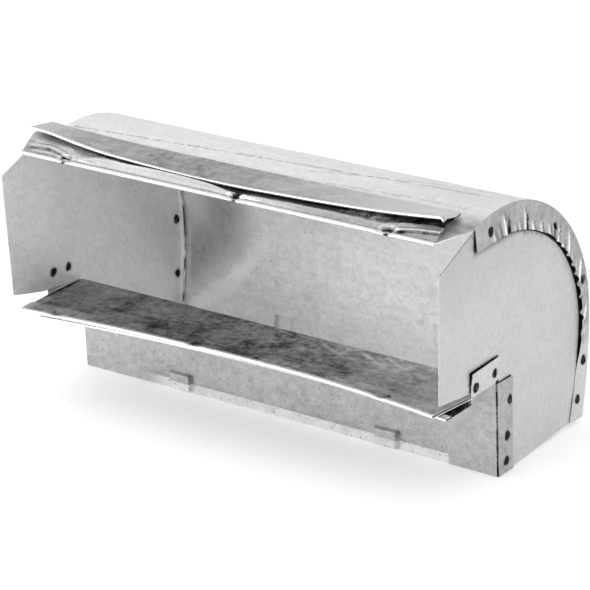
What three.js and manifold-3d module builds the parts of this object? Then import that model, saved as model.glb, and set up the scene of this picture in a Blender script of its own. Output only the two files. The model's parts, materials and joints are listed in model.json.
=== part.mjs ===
// Wall stack head: a galvanised sheet-metal elbow that turns the air of a flat rectangular wall
// duct (collar at the bottom) out through a register mouth in the wall (opening at the front).
// Millimetres, +Z up, the mouth faces -Y, X runs along the mouth.
// It is made of four folded sheets and two S-shaped lip strips, held by spot welds and clinches.
// The pieces are drawn with y = 0 on the collar's front face and z = 0 on its bottom rim; the last
// lines move them so that the origin is at the centre of the bottom of the whole box.
import * as THREE from "three";
import { mergeVertices } from "three/addons/utils/BufferGeometryUtils.js";
import Module from "manifold-3d";

const wasm = await Module();
wasm.setup();

// ---- driving dimensions -------------------------------------------------------------------
const LENGTH = 254; // over the two end plates: a 10 inch stack
const DEPTH = 82.5; // over the collar's front and rear walls: 3 1/4 inches
const SHEET = 0.5; // sheet thickness
const GAP = 0.3; // clearance between sheets that lie on each other
const SEAM = 13; // width of a flange folded over an end plate

const HEEL_R = 75; // outside radius of the curved heel and roof
const HEEL_SWEEP = 107.5; // degrees, from level at the rear to just past the top
const HEEL_Z = 58.5; // height of the heel's centre
const REAR_LEAN = 7; // how far the rear wall draws in at the bottom rim
const LEAN_Z = 50; // height where the rear wall becomes upright
const REAR_RIM = 2.6; // the rear wall is cut this much shorter than the collar's front wall
const ROOF_LIP_Z = 130.9; // top face of the roof's front edge
const ROOF_REACH = 41.6; // roof's front edge, ahead of the collar

const SHELF_Z = 48.8; // top face of the shelf
const SHELF_REACH = 48.4; // shelf's front edge, ahead of the collar
const SHELF_BOW = 5.2; // rise of the shelf's front edge at its highest point
const BOW_X = 35; // where that point is along the shelf

const PLATE_REACH = 49.5; // front edge of an end plate
const FLARE_START = 27; // the end plates bend outwards ahead of this
const FLARE = 4.4; // and end this far out at the top
const FLARE_LOW = 2.6; // and this far at the bottom

const INNER_LIP = 3.6; // width of an end plate's edge, turned in along the rear wall and heel
const TAB_TOP = 61.7; // top edge of a shelf tab
const COLLAR_SEAM_TOP = 47.8; // top edge of the collar's side flange

const WELD_R = 1.8; // spot weld button
const CLINCH_R = 1.5; // pierced clinch in a lip strip

const HALF = LENGTH / 2; // outer face of an end plate
const LAP = HALF + GAP; // inner face of what is folded over it
const SKIN = LAP + SHEET; // outer face of what is folded over it
const HEEL_Y = DEPTH - HEEL_R;
const INSET = SHEET + GAP; // an end plate's edge lies this far inside a wall's outer face

const ZINC = { color: 0xb9bcbe, roughness: 0.38, metalness: 0.9 };
const ZINC_DULL = { color: 0x9fa2a4, roughness: 0.5, metalness: 0.85 };
const WELD_TINT = { color: 0x6d5f52, roughness: 0.6, metalness: 0.7 };

// ---- small helpers ------------------------------------------------------------------------
const radians = THREE.MathUtils.degToRad;
const mix = THREE.MathUtils.lerp;
const clamp01 = (t) => THREE.MathUtils.clamp(t, 0, 1);

// Evenly spaced values from a to b, both included.
function steps(a, b, count) {
  return Array.from({ length: count + 1 }, (_, i) => mix(a, b, i / count));
}

// A point in a side view, y towards the rear and z up.
function at(y, z) {
  return new THREE.Vector2(y, z);
}

// Points on an arc in a side view, angles in degrees from +Y towards +Z.
function arc(y, z, radius, from, to, count) {
  return steps(from, to, count).map((a) =>
    at(y + radius * Math.cos(radians(a)), z + radius * Math.sin(radians(a))),
  );
}

// A closed three.js geometry as a solid for cutting and joining, turned face out.
function solid(geometry) {
  const bare = geometry.index ? geometry.toNonIndexed() : geometry.clone();
  bare.deleteAttribute("normal");
  bare.deleteAttribute("uv");
  const merged = mergeVertices(bare, 1e-4);
  const vertProperties = merged.attributes.position.array;
  const triVerts = new Uint32Array(merged.index.array);
  const build = () => new wasm.Manifold(new wasm.Mesh({ numProp: 3, vertProperties, triVerts }));
  const made = build();
  if (made.volume() >= 0) {
    return made;
  }
  for (let i = 0; i < triVerts.length; i += 3) {
    [triVerts[i + 1], triVerts[i + 2]] = [triVerts[i + 2], triVerts[i + 1]];
  }
  return build();
}

// A solid back as a three.js geometry.
function geometryOf(body) {
  const { vertProperties, triVerts } = body.getMesh();
  const geometry = new THREE.BufferGeometry();
  geometry.setAttribute("position", new THREE.BufferAttribute(new Float32Array(vertProperties), 3));
  geometry.setIndex(new THREE.BufferAttribute(new Uint32Array(triVerts), 1));
  geometry.computeVertexNormals();
  return geometry;
}

// A bent sheet: a flat box of nu by nv cells whose every corner (u, v, w) goes to place(u, v, w).
// u and v run 0 to 1 over the sheet and w is 0 on one face and 1 on the other.
function bentSheet(nu, nv, place) {
  const box = new THREE.BoxGeometry(1, 1, 1, nu, nv, 1);
  const corner = box.attributes.position;
  for (let i = 0; i < corner.count; i += 1) {
    const p = place(corner.getX(i) + 0.5, corner.getY(i) + 0.5, corner.getZ(i) + 0.5);
    corner.setXYZ(i, p.x, p.y, p.z);
  }
  return solid(box);
}

// The way across a folded path at each of its points, long enough to keep the sheet's thickness.
function acrossPath(path) {
  return path.map((p, i) => {
    const before = path[Math.max(i - 1, 0)];
    const after = path[Math.min(i + 1, path.length - 1)];
    const into = p.clone().sub(i > 0 ? before : p).normalize();
    const out = (i < path.length - 1 ? after : p).clone().sub(p).normalize();
    const along = into.clone().add(out).normalize();
    const side = at(-along.y, along.x);
    const cosHalf = i > 0 && i < path.length - 1 ? along.dot(into) : 1;
    return side.divideScalar(Math.max(cosHalf, 0.5));
  });
}

// A sheet folded along a side-view path and run from x0 to x1. It lies on the left of the path,
// `inner` to `outer` away from it. shift(point, pathIndex) may move each corner of the result.
function foldedSheet(path, inner, outer, x0, x1, nx, shift = (p) => p) {
  const across = acrossPath(path);
  const last = path.length - 1;
  return bentSheet(last, nx, (u, v, w) => {
    const i = Math.round(u * last);
    const off = mix(inner, outer, w);
    const y = path[i].x + across[i].x * off;
    const z = path[i].y + across[i].y * off;
    return shift(new THREE.Vector3(mix(x0, x1, v), y, z), i);
  });
}

// A flat plate with a side-view outline, from x0 to x1.
function profilePlate(outline, x0, x1) {
  const plate = new THREE.ExtrudeGeometry(new THREE.Shape(outline), {
    depth: x1 - x0,
    bevelEnabled: false,
  });
  const sideView = new THREE.Matrix4().makeBasis(
    new THREE.Vector3(0, 1, 0),
    new THREE.Vector3(0, 0, 1),
    new THREE.Vector3(1, 0, 0),
  );
  plate.applyMatrix4(sideView);
  plate.translate(x0, 0, 0);
  return solid(plate);
}

// An upright prism with a plan-view outline of [x, y] points, from z0 to z1.
function planPrism(outline, z0, z1) {
  const shape = new THREE.Shape(outline.map(([x, y]) => new THREE.Vector2(x, y)));
  const prism = new THREE.ExtrudeGeometry(shape, { depth: z1 - z0, bevelEnabled: false });
  prism.translate(0, 0, z0);
  return solid(prism);
}

// A round pin along X, for weld holes.
function pinX(radius, x0, x1, y, z) {
  const pin = new THREE.CylinderGeometry(radius, radius, x1 - x0, 12);
  pin.rotateZ(Math.PI / 2);
  pin.translate((x0 + x1) / 2, y, z);
  return solid(pin);
}

// A round pin along Z, for clinches.
function pinZ(radius, x, y, z0, z1) {
  const pin = new THREE.CylinderGeometry(radius, radius, z1 - z0, 10);
  pin.rotateX(Math.PI / 2);
  pin.translate(x, y, (z0 + z1) / 2);
  return solid(pin);
}

const joined = (first, ...others) => others.reduce((sum, part) => sum.add(part), first);
const without = (first, ...cutters) => cutters.reduce((rest, cut) => rest.subtract(cut), first);

// ---- shared curves ------------------------------------------------------------------------
// Outer face of the rear wall: upright above, drawn in towards the rim.
function rearY(z) {
  return DEPTH - REAR_LEAN * clamp01(1 - z / LEAN_Z) ** 1.6;
}

// Outer side view of the wrapper: up the rear wall and over the heel to the start of the lip.
function wrapperOutline() {
  const rear = steps(REAR_RIM, LEAN_Z, 5).map((z) => at(rearY(z), z));
  return [...rear, ...arc(HEEL_Y, HEEL_Z, HEEL_R, 0, HEEL_SWEEP, 24)];
}

// Top face of the roof's flat front lip.
const ROOF_END = arc(HEEL_Y, HEEL_Z, HEEL_R, HEEL_SWEEP, HEEL_SWEEP, 1)[0];
function roofLipZ(y) {
  return mix(ROOF_END.y, ROOF_LIP_Z, (ROOF_END.x - y) / (ROOF_END.x + ROOF_REACH));
}

// The shelf's front edge has sprung upwards between its ends; nothing moves at the collar.
function bowed(p) {
  const span = p.x < BOW_X ? 165 : 105;
  const rise = SHELF_BOW * (1 - ((p.x - BOW_X) / span) ** 2);
  p.z += rise * clamp01(-p.y / SHELF_REACH);
  return p;
}

// The two ends: where the shelf's tab and the spot welds are in the side view, and how high the
// end plate's front corner is cut. They are a little different, as hand-set spot welds are.
const ENDS = [
  {
    name: "left",
    side: -1,
    tab: { front: -26, rear: -3, top: TAB_TOP + 2.8 },
    chamfer: [at(-28, 129.4), at(-PLATE_REACH + 0.4, 119)],
    welds: {
      wrapper: [at(-3, 124.9), at(77.4, 56.4), at(75.6, 26), at(71, 8)],
      collar: [at(10.4, 37.2), at(8, 19.5), at(7.8, 6)],
      tab: [at(-21.6, 59.6), at(-10.2, 58.8)],
    },
  },
  {
    name: "right",
    side: 1,
    tab: { front: -21, rear: 2, top: TAB_TOP },
    chamfer: [at(-PLATE_REACH + 0.5, 119.4)],
    welds: {
      wrapper: [at(-3, 124.9), at(76, 74.7), at(76.4, 32.4), at(71, 13.4)],
      collar: [at(11, 36.3), at(8.4, 18.6), at(7.4, 5.8)],
      tab: [at(-17.4, 53), at(-1.6, 54.3)],
    },
  },
];

// Holes for the spot welds of the named seams, on both ends.
function weldHoles(...seams) {
  return ENDS.flatMap(({ side, welds }) =>
    seams.flatMap((seam) =>
      welds[seam].map((p) => {
        const [x0, x1] = side > 0 ? [LAP - 0.1, SKIN + 5] : [-SKIN - 5, -LAP + 0.1];
        return pinX(WELD_R + GAP, x0, x1, p.x, p.y);
      }),
    ),
  );
}

// A stop tab pressed out of a collar wall: a shallow blister with a pocket behind it.
// The wall's outer face is at wallY and outwards is -1 or +1 along Y.
const BLISTER_RISE = 2.2;
const BLISTER_SLANT = 2.2;
const FRONT_STOPS = { x: 64, bottom: 1.5, width: 14, height: 9 };
const REAR_STOPS = { x: 57, bottom: 5, width: 12, height: 10 };
function blister({ width, height, bottom }, x, wallY, outwards, inset) {
  const box = new THREE.BoxGeometry(1, 1, 1);
  const corner = box.attributes.position;
  for (let i = 0; i < corner.count; i += 1) {
    const out = corner.getZ(i) > 0;
    const slant = out ? BLISTER_SLANT : 0;
    const cx = corner.getX(i) * (width - 2 * inset - slant);
    const cz = bottom + height / 2 + corner.getY(i) * (height - 2 * inset - slant);
    const depth = out ? BLISTER_RISE - inset : -SHEET - (inset > 0 ? 1 : -0.1);
    corner.setXYZ(i, x + cx, wallY + outwards * depth, cz);
  }
  return solid(box);
}

// ---- pieces -------------------------------------------------------------------------------
// Inner edge of the wrapper's side flange, opposite a point at height z or at a heel angle.
const EDGE_R = 65.6;
const EDGE_Y = 8.5;
const EDGE_Z = 53.5;
const FLANGE_BOTTOM = 118.9; // lower edge of the flange's straight front end
function flangeEdge(angle) {
  if (angle > 90) {
    const t = (angle - 90) / (HEEL_SWEEP - 90);
    return at(mix(EDGE_Y, ROOF_END.x, t), FLANGE_BOTTOM);
  }
  return arc(EDGE_Y, EDGE_Z, EDGE_R, angle, angle, 1)[0];
}

// Side flange of the wrapper, gathered into pleats where it goes round the heel: its inner edge
// is scalloped and stands off the end plate between the pleats.
const REAR_CELLS = 5;
const HEEL_CELLS = 60;
const SCALLOP = { from: 0, to: 62, pitch: 7.2, depth: 1.1, lift: 1.1 };
function pleatedFlange(side) {
  const cells = REAR_CELLS + HEEL_CELLS;
  return bentSheet(cells, 2, (u, v, w) => {
    const i = Math.round(u * cells);
    let outer;
    let edge;
    let gather = 0;
    if (i < REAR_CELLS) {
      const z = mix(REAR_RIM, EDGE_Z, i / REAR_CELLS);
      outer = at(rearY(z), z);
      edge = at(rearY(z) - mix(11.8, 8.6, z / EDGE_Z), z);
    } else {
      const angle = (HEEL_SWEEP * (i - REAR_CELLS)) / HEEL_CELLS;
      outer = arc(HEEL_Y, HEEL_Z, HEEL_R, angle, angle, 1)[0];
      edge = flangeEdge(angle);
      if (angle > SCALLOP.from && angle < SCALLOP.to) {
        gather = Math.abs(Math.sin((Math.PI * angle) / SCALLOP.pitch));
      }
    }
    const p = outer.clone().lerp(edge, v);
    const inwards = edge.clone().sub(outer).normalize();
    p.addScaledVector(inwards, (1 - v) * 0.05 - v * SCALLOP.depth * gather);
    const x = LAP + SHEET * w + SCALLOP.lift * gather * v * v;
    return new THREE.Vector3(side * x, p.x, p.y);
  });
}

// A narrow V cut into a flange from its inner edge, where a pleat has been pinched shut.
const PINCHES = [
  { angle: 86.3, half: 1.5, from: 59, to: 69.5 },
  { angle: 73.2, half: 1.3, from: 59, to: 67.5 },
  { angle: 52, half: 0.8, from: 60, to: 70.5 },
];
function pinch({ angle, half, from, to }) {
  const dir = at(Math.cos(radians(angle)), Math.sin(radians(angle)));
  const cross = at(-dir.y, dir.x).multiplyScalar(half);
  const centre = at(HEEL_Y, HEEL_Z);
  const base = centre.clone().addScaledVector(dir, from);
  const tip = centre.clone().addScaledVector(dir, to);
  const outline = [base.clone().sub(cross), base.clone().add(cross), tip];
  return [
    profilePlate(outline, LAP - 0.1, SKIN + 3),
    profilePlate(outline, -SKIN - 3, -LAP + 0.1),
  ];
}

// Rear wall, curved heel, roof and the roof's flat lip in one sheet, with a flange at each end.
function wrapper() {
  const path = [...wrapperOutline(), at(-ROOF_REACH, ROOF_LIP_Z)];
  const skin = foldedSheet(path, 0, SHEET, -SKIN, SKIN, 1);
  const corners = [-1, 1].map((side) =>
    planPrism(
      [
        [side * (SKIN + 1), ROOF_END.x - 0.5],
        [side * (HALF - 0.2), ROOF_END.x - 0.5],
        [side * (HALF - 4), -ROOF_REACH - 1],
        [side * (SKIN + 1), -ROOF_REACH - 1],
      ],
      ROOF_END.y - 3,
      ROOF_LIP_Z + 3,
    ),
  );
  const stops = [-REAR_STOPS.x, REAR_STOPS.x];
  const wallY = rearY(REAR_STOPS.bottom + REAR_STOPS.height / 2);
  const body = joined(
    without(skin, ...corners),
    pleatedFlange(-1),
    pleatedFlange(1),
    ...stops.map((x) => blister(REAR_STOPS, x, wallY, 1, 0)),
  );
  const pockets = stops.map((x) => blister(REAR_STOPS, x, wallY, 1, SHEET));
  return without(body, ...pockets, ...PINCHES.flatMap(pinch), ...weldHoles("wrapper"));
}

// Collar front wall and shelf in one sheet, with side flanges folded back over the end plates
// and tabs folded up from the shelf.
const BEND_R = 1.2;
function frontPanel() {
  const shelfSteps = [-12, -24, -36, -SHELF_REACH].map((y) => at(y, SHELF_Z));
  const path = [
    at(SHEET, 0),
    at(SHEET, SHELF_Z / 2),
    ...arc(SHEET - BEND_R, SHELF_Z - BEND_R, BEND_R, 0, 90, 3),
    ...shelfSteps,
  ];
  const sheet = foldedSheet(path, 0, SHEET, -SKIN, SKIN, 16, bowed);
  const corners = ENDS.map(({ side, tab }) =>
    planPrism(
      [
        [side * (SKIN + 1), tab.front],
        [side * (SKIN - 0.05), tab.front],
        [side * (HALF - 2), -SHELF_REACH - 1],
        [side * (SKIN + 1), -SHELF_REACH - 1],
      ],
      SHELF_Z - 4,
      SHELF_Z + 8,
    ),
  );
  const flange = [at(0.02, 0), at(SEAM, 0), at(SEAM, COLLAR_SEAM_TOP), at(0.02, COLLAR_SEAM_TOP)];
  const sides = ENDS.flatMap(({ side, tab }) => {
    const outline = [
      at(tab.front, SHELF_Z - 0.2),
      at(-0.6, SHELF_Z - 0.45),
      at(tab.rear, SHELF_Z - 0.2),
      at(tab.rear, tab.top),
      at(tab.front, tab.top - 0.8),
    ];
    const [x0, x1] = side > 0 ? [LAP, SKIN] : [-SKIN, -LAP];
    return [profilePlate(flange, x0, x1), profilePlate(outline, x0, x1)];
  });
  const stops = [-FRONT_STOPS.x, FRONT_STOPS.x];
  const body = joined(
    without(sheet, ...corners),
    ...sides,
    ...stops.map((x) => blister(FRONT_STOPS, x, 0, -1, 0)),
  );
  const pockets = stops.map((x) => blister(FRONT_STOPS, x, 0, -1, SHEET));
  return without(body, ...pockets, ...weldHoles("collar", "tab"));
}

// Flat end plate whose front part bends outwards. It lies inside the wrapper and the collar, and
// its rear and upper edge is turned in against the wrapper as a narrow lip.
function endPlate({ side, chamfer }) {
  const bend = steps(0, 1, 6).map((t) => mix(FLARE_START, PLATE_REACH + 1, t));
  const plan = [[DEPTH, 0], ...bend.map((reach, i) => [-reach, (i / (bend.length - 1)) ** 1.5])];
  const nu = plan.length - 1;
  const flareAt = (z) => mix(FLARE_LOW, FLARE, (z - 55) / 65);
  const bent = bentSheet(nu, 1, (u, v, w) => {
    const [y, out] = plan[Math.round(u * nu)];
    const z = mix(-5, 135, v);
    return new THREE.Vector3(side * (HALF - SHEET * w + out * flareAt(z)), y, z);
  });
  const rear = steps(REAR_RIM + 0.8, LEAN_Z, 5).map((z) => at(rearY(z) - INSET, z));
  const heel = arc(HEEL_Y, HEEL_Z, HEEL_R - INSET, 0, HEEL_SWEEP, 24);
  const outline = [
    at(INSET, 0),
    at(SEAM - 2, 0),
    ...rear,
    ...heel,
    at(ROOF_END.x - 1.4, 128),
    ...chamfer,
    at(-PLATE_REACH, 118),
    at(-PLATE_REACH, 55.8),
    at(-29.5, 51.8),
    at(-0.4, SHELF_Z + 0.5),
    at(INSET + 0.1, SHELF_Z - 0.4),
    at(INSET, SHELF_Z - 1.6),
  ];
  const reach = HALF + FLARE + 2;
  const [x0, x1] = side > 0 ? [HALF - 1, reach] : [-reach, -HALF + 1];
  const lipPath = [
    ...steps(REAR_RIM + 1.4, LEAN_Z, 5).map((z) => at(rearY(z), z)),
    ...arc(HEEL_Y, HEEL_Z, HEEL_R, 0, 100, 24),
  ];
  const lipX = [side * HALF, side * (HALF - INNER_LIP)].sort((a, b) => a - b);
  const lip = foldedSheet(lipPath, INSET + 0.02, INSET + SHEET, ...lipX, 1);
  return bent.intersect(profilePlate(outline, x0, x1)).add(lip);
}

// How far the roof strip's loose layers have sprung up, 0 in its middle and 1 at its ends.
const SPRING_X = -50;
function springLeft(x) {
  return clamp01((SPRING_X - x) / 78) ** 2;
}
function springRight(x) {
  return clamp01((x - SPRING_X - 40) / 130) ** 2.2;
}

// Roof lip strip, an S in section: a short leg under the roof's edge, a fold round the edge,
// a middle layer back to a fold on the roof, and a loose top layer forward again with a hem.
const STRIP_HALF = 123.3;
const STRIP_SKEW = 0.24; // the strip was folded askew: its rear fold has slid to the left
const LOOSE_RISE = 6.5;
function upperLipStrip() {
  const under = SHEET + GAP + SHEET / 2; // from the lip's top face down to the leg's middle
  const over = GAP + SHEET / 2;
  const hemR = (under + over) / 2;
  const lip = (y, up) => at(y, roofLipZ(y) + up);
  const front = -ROOF_REACH - 0.3;
  const rearFold = at(-9, 132.25);
  const foldR = 0.5;
  const looseZ = rearFold.y + 2 * foldR;
  const looseY = -30.2;
  const path = [
    lip(-34, -under),
    lip(-38, -under),
    ...arc(front, roofLipZ(front) + (over - under) / 2, hemR, 270, 90, 6),
    at(-39.6, 132.2),
    at(-37.2, 133.1),
    at(-35, 133.2),
    at(-33, 132.5),
    at(-30.5, 131.6),
    at(-27, 131.3),
    rearFold,
    ...arc(rearFold.x, rearFold.y + foldR, foldR, -45, 90, 3),
    at(-20, looseZ + 0.1),
    ...arc(looseY, looseZ - 0.25, 0.4, 90, 270, 4),
    at(-26, looseZ - 0.6),
  ];
  const rising = path.length - 12; // from here on the layers are free to spring up
  const shift = (p, i) => {
    const back = clamp01((-p.y - 9) / 21);
    const free = i < 9 ? 0 : clamp01((i - 8) / 3);
    const left = springLeft(p.x);
    const right = springRight(p.x);
    const fold = LOOSE_RISE * (0.38 * left + 0.06 * right);
    const loose = LOOSE_RISE * (1.25 * left + right);
    if (i <= rising) {
      p.z += free * (fold + 1.5 * back * left + 0.8 * back * right);
    } else {
      p.z += mix(fold, loose, back);
    }
    p.x -= STRIP_SKEW * (p.y + ROOF_REACH);
    return p;
  };
  const strip = foldedSheet(path, -SHEET / 2, SHEET / 2, -STRIP_HALF, STRIP_HALF, 16, shift);
  const clinches = [-96, 8, 96].map((x) => pinZ(CLINCH_R, x, -40.6, ROOF_LIP_Z, 134));
  return without(strip, ...clinches);
}

// Shelf lip strip, the same S upside down: a short leg on the shelf's edge, a fold round it,
// a middle layer back under the shelf, and a loose bottom layer forward again with a hem.
function lowerLipStrip() {
  const over = GAP + SHEET / 2;
  const under = SHEET + GAP + SHEET / 2;
  const hemR = (under + over) / 2;
  const front = -SHELF_REACH - 0.3;
  const middleZ = SHELF_Z - under;
  const foldR = 0.9;
  const looseZ = 45.4;
  const path = [
    at(-40, SHELF_Z + over),
    at(-44, SHELF_Z + over),
    ...arc(front, SHELF_Z + (over - under) / 2, hemR, 90, 270, 6),
    at(-36, middleZ),
    at(-21, middleZ),
    ...arc(-21, middleZ - foldR, foldR, 45, -90, 3),
    at(-34, mix(middleZ - 2 * foldR, looseZ, 0.5)),
    ...arc(-46.5, looseZ + 0.4, 0.4, 270, 90, 4),
    at(-42.5, looseZ + 0.9),
  ];
  const loose = path.length - 7; // from here on the layer has drawn back on the right
  const shift = (p, i) => {
    const right = clamp01((p.x + HALF) / LENGTH) * (i >= loose ? 1 : 0);
    const forward = clamp01((-p.y - 21) / 25) * right;
    bowed(p);
    p.y += 2.6 * forward;
    return p;
  };
  const strip = foldedSheet(path, -SHEET / 2, SHEET / 2, -HALF + 0.5, HALF + 1.8, 16, shift);
  // The end cuts: the upper layers stop short at the front, the loose layer is short on the left.
  const upper = SHELF_Z - 1.6;
  const endCuts = [-1, 1].map((side) =>
    planPrism(
      [
        [side * (HALF + 3), -22],
        [side * (HALF + 0.3), -22],
        [side * (HALF - 2), -SHELF_REACH - 3],
        [side * (HALF + 3), -SHELF_REACH - 3],
      ],
      upper,
      upper + 12,
    ),
  );
  const shortEnd = planPrism(
    [
      [-HALF - 3, -19],
      [-HALF + 9, -19],
      [-HALF + 12, -SHELF_REACH - 3],
      [-HALF - 3, -SHELF_REACH - 3],
    ],
    upper - 12,
    upper - 0.9,
  );
  const clinches = [-104, -15, 98].map((x) => pinZ(CLINCH_R, x, -45.5, SHELF_Z + 0.2, SHELF_Z + 8));
  return without(strip, ...endCuts, shortEnd, ...clinches);
}

// Crowned button of one spot weld, standing on the end plate in the hole of the outer sheet.
function weldButton() {
  const proud = 0.25;
  const top = SHEET + proud;
  const profile = [
    at(0, 0),
    at(WELD_R, 0),
    at(WELD_R, SHEET),
    at(WELD_R * 0.6, top),
    at(0, top - 0.1),
  ];
  const button = new THREE.LatheGeometry(profile, 12);
  button.rotateZ(-Math.PI / 2);
  return solid(button);
}

// ---- assembly -----------------------------------------------------------------------------
const stackHead = new THREE.Group();

function addPiece(name, body, look) {
  const piece = new THREE.Mesh(geometryOf(body), new THREE.MeshStandardMaterial(look));
  piece.name = name;
  stackHead.add(piece);
  return piece;
}

addPiece("wrapper", wrapper(), ZINC);
addPiece("front_panel", frontPanel(), ZINC_DULL);
addPiece("upper_lip_strip", upperLipStrip(), ZINC);
addPiece("lower_lip_strip", lowerLipStrip(), ZINC);

for (const end of ENDS) {
  const { name, side, welds } = end;
  addPiece(`${name}_end_plate`, endPlate(end), ZINC_DULL);
  for (const [seam, places] of Object.entries(welds)) {
    places.forEach((place, i) => {
      const weld = addPiece(`spot_weld_${name}_${seam}_${i + 1}`, weldButton(), WELD_TINT);
      weld.position.set(side * LAP, place.x, place.y);
      weld.rotation.z = side > 0 ? 0 : Math.PI;
    });
  }
}

// Origin at the bottom centre of the whole box.
const box = new THREE.Box3().setFromObject(stackHead);
stackHead.children.forEach((piece) => {
  piece.position.x -= (box.min.x + box.max.x) / 2;
  piece.position.y -= (box.min.y + box.max.y) / 2;
});

export default stackHead;
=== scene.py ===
import json
import math
from math import cos, sin, tau

import bpy
import numpy as np
from numpy import arange, concatenate, hypot, linspace, stack
from mathutils import Matrix, Vector
from mathutils.geometry import delaunay_2d_cdt


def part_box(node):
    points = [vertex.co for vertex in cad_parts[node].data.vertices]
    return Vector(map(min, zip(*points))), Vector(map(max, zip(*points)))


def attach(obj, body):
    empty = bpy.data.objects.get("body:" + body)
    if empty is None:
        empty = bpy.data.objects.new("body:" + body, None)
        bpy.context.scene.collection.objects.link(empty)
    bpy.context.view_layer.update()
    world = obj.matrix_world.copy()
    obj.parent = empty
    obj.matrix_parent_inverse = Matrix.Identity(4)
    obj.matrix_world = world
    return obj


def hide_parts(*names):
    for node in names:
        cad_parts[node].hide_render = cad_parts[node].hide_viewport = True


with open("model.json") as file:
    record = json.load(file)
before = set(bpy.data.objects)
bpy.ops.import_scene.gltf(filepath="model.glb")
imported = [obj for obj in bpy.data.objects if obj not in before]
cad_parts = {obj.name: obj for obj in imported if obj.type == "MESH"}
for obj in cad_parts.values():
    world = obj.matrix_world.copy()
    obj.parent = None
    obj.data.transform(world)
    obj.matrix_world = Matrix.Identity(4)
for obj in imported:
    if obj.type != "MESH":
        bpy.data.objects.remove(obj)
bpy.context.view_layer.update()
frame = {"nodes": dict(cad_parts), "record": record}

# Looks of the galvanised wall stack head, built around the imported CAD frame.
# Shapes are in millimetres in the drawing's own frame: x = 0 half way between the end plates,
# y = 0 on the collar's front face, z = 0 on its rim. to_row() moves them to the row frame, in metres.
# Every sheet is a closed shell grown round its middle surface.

# ---- sizes, millimetres ----
MM = 0.001
MOUNTS = {m["name"]: m["pos_m"] for m in frame["record"]["mounts"]}
OUTERMOST = (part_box("spot_weld_left_wrapper_1")[0][0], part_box("spot_weld_right_wrapper_1")[1][0])
ORIGIN = np.array([sum(OUTERMOST) / 2, MOUNTS["collar_front"][1], 0.0])
HALF = 127.0  # from the middle to an end plate's outer face
SHEET = 0.5
GAP = 0.3
LAP = HALF + GAP  # inner face of what is folded over an end plate
SKIN = LAP + SHEET  # and its outer face
BEND = 0.9  # outer radius of a fold
FLAT = SKIN - BEND  # where the folds at the ends begin
EDGE_ROUND = 0.1  # a sheared edge bulges this far
DEPTH = 82.5
HEEL_R, HEEL_Y, HEEL_Z, HEEL_SWEEP = 75.0, 7.5, 58.5, 107.5
ROOF_END = (  # where the heel's arc ends and the straight roof begins
    HEEL_Y + HEEL_R * cos(math.radians(HEEL_SWEEP)),
    HEEL_Z + HEEL_R * sin(math.radians(HEEL_SWEEP)),
)
ROOF_LIP_Z, ROOF_REACH = 130.9, 41.6
REAR_LEAN, LEAN_Z = 7.0, 50.0  # the rear wall leans in this far, below this height
REAR_RIM = 2.6
RIM_RISE, RISE_FROM, RISE_TO = 3.4, 11.0, 66.0  # the end plates' lower edges run up to the rear
SHELF_Z, SHELF_REACH = 48.8, 48.4
SHELF_BOW, BOW_X = 5.2, 35.0
PLATE_REACH, FLARE_START, FLARE, FLARE_LOW = 49.5, 27.0, 4.15, 2.5
SEAM, SEAM_TOP = 13.0, 47.8
SIDES = {"left": -1, "right": 1}
TABS = {"left": (-26.0, -3.0, 64.5), "right": (-21.0, 2.0, 61.7)}  # front, rear, top
CLINCH_TOP = (-96.0, 9.5, 96.5)  # along the roof strip
CLINCH_LOW = (-104.0, -15.0, 98.0)  # along the shelf strip


def weld_places(side, seam=""):
    """(node, y, z) of the spot welds of one end, from their CAD nodes."""
    found = []
    for node in sorted(frame["nodes"]):
        if node.startswith(f"spot_weld_{side}_{seam}"):
            low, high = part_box(node)
            centre = np.array((low + high) / 2) - ORIGIN
            found.append((node, centre[1] / MM, centre[2] / MM))
    return found


# ---- numbers ----
def to_row(points):
    return np.asarray(points, float) * MM + ORIGIN


def clamp01(t):
    return np.clip(t, 0.0, 1.0)


def mix(a, b, t):
    return a + (b - a) * t


def ease(t):
    t = clamp01(t)
    return t * t * (3 - 2 * t)


def bell(t):
    """A smooth bump, 1 at 0 and 0 from 1 outwards."""
    return np.clip(1 - np.asarray(t, float) ** 2, 0, 1) ** 2


def spans(start, *parts):
    """Samples from start on, as pairs of a count of steps and where they end."""
    values = [start]
    for count, end in zip(parts[::2], parts[1::2]):
        values.extend(linspace(values[-1], end, count + 1)[1:])
    return np.array(values)


def turns(start, end, count):
    """Angles in radians between two in degrees."""
    return np.radians(linspace(start, end, count))


def through(points, x):
    """A smooth curve through (x, value) points, level beyond its ends."""
    xs, ys = np.array(points, float).T
    slopes = np.gradient(ys, xs)
    x = np.clip(x, xs[0], xs[-1])
    i = np.clip(np.searchsorted(xs, x, side="right") - 1, 0, len(xs) - 2)
    width = xs[i + 1] - xs[i]
    t = (x - xs[i]) / width
    rise = ease(t)
    pull = t * (1 - t) * width * ((1 - t) * slopes[i] - t * slopes[i + 1])
    return mix(ys[i], ys[i + 1], rise) + pull


def waves(seed, count, shortest, longest):
    """A smooth random field of two coordinates, about -1 to 1."""
    rng = np.random.default_rng(seed)
    length = rng.uniform(shortest, longest, count)
    turn = rng.uniform(0, tau, count)
    phase = rng.uniform(0, tau, count)

    def field(a, b):
        total = 0
        for k in range(count):
            along = a * cos(turn[k]) + b * sin(turn[k])
            total = total + np.sin(tau * along / length[k] + phase[k])
        return total / math.sqrt(count)

    return field


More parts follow.
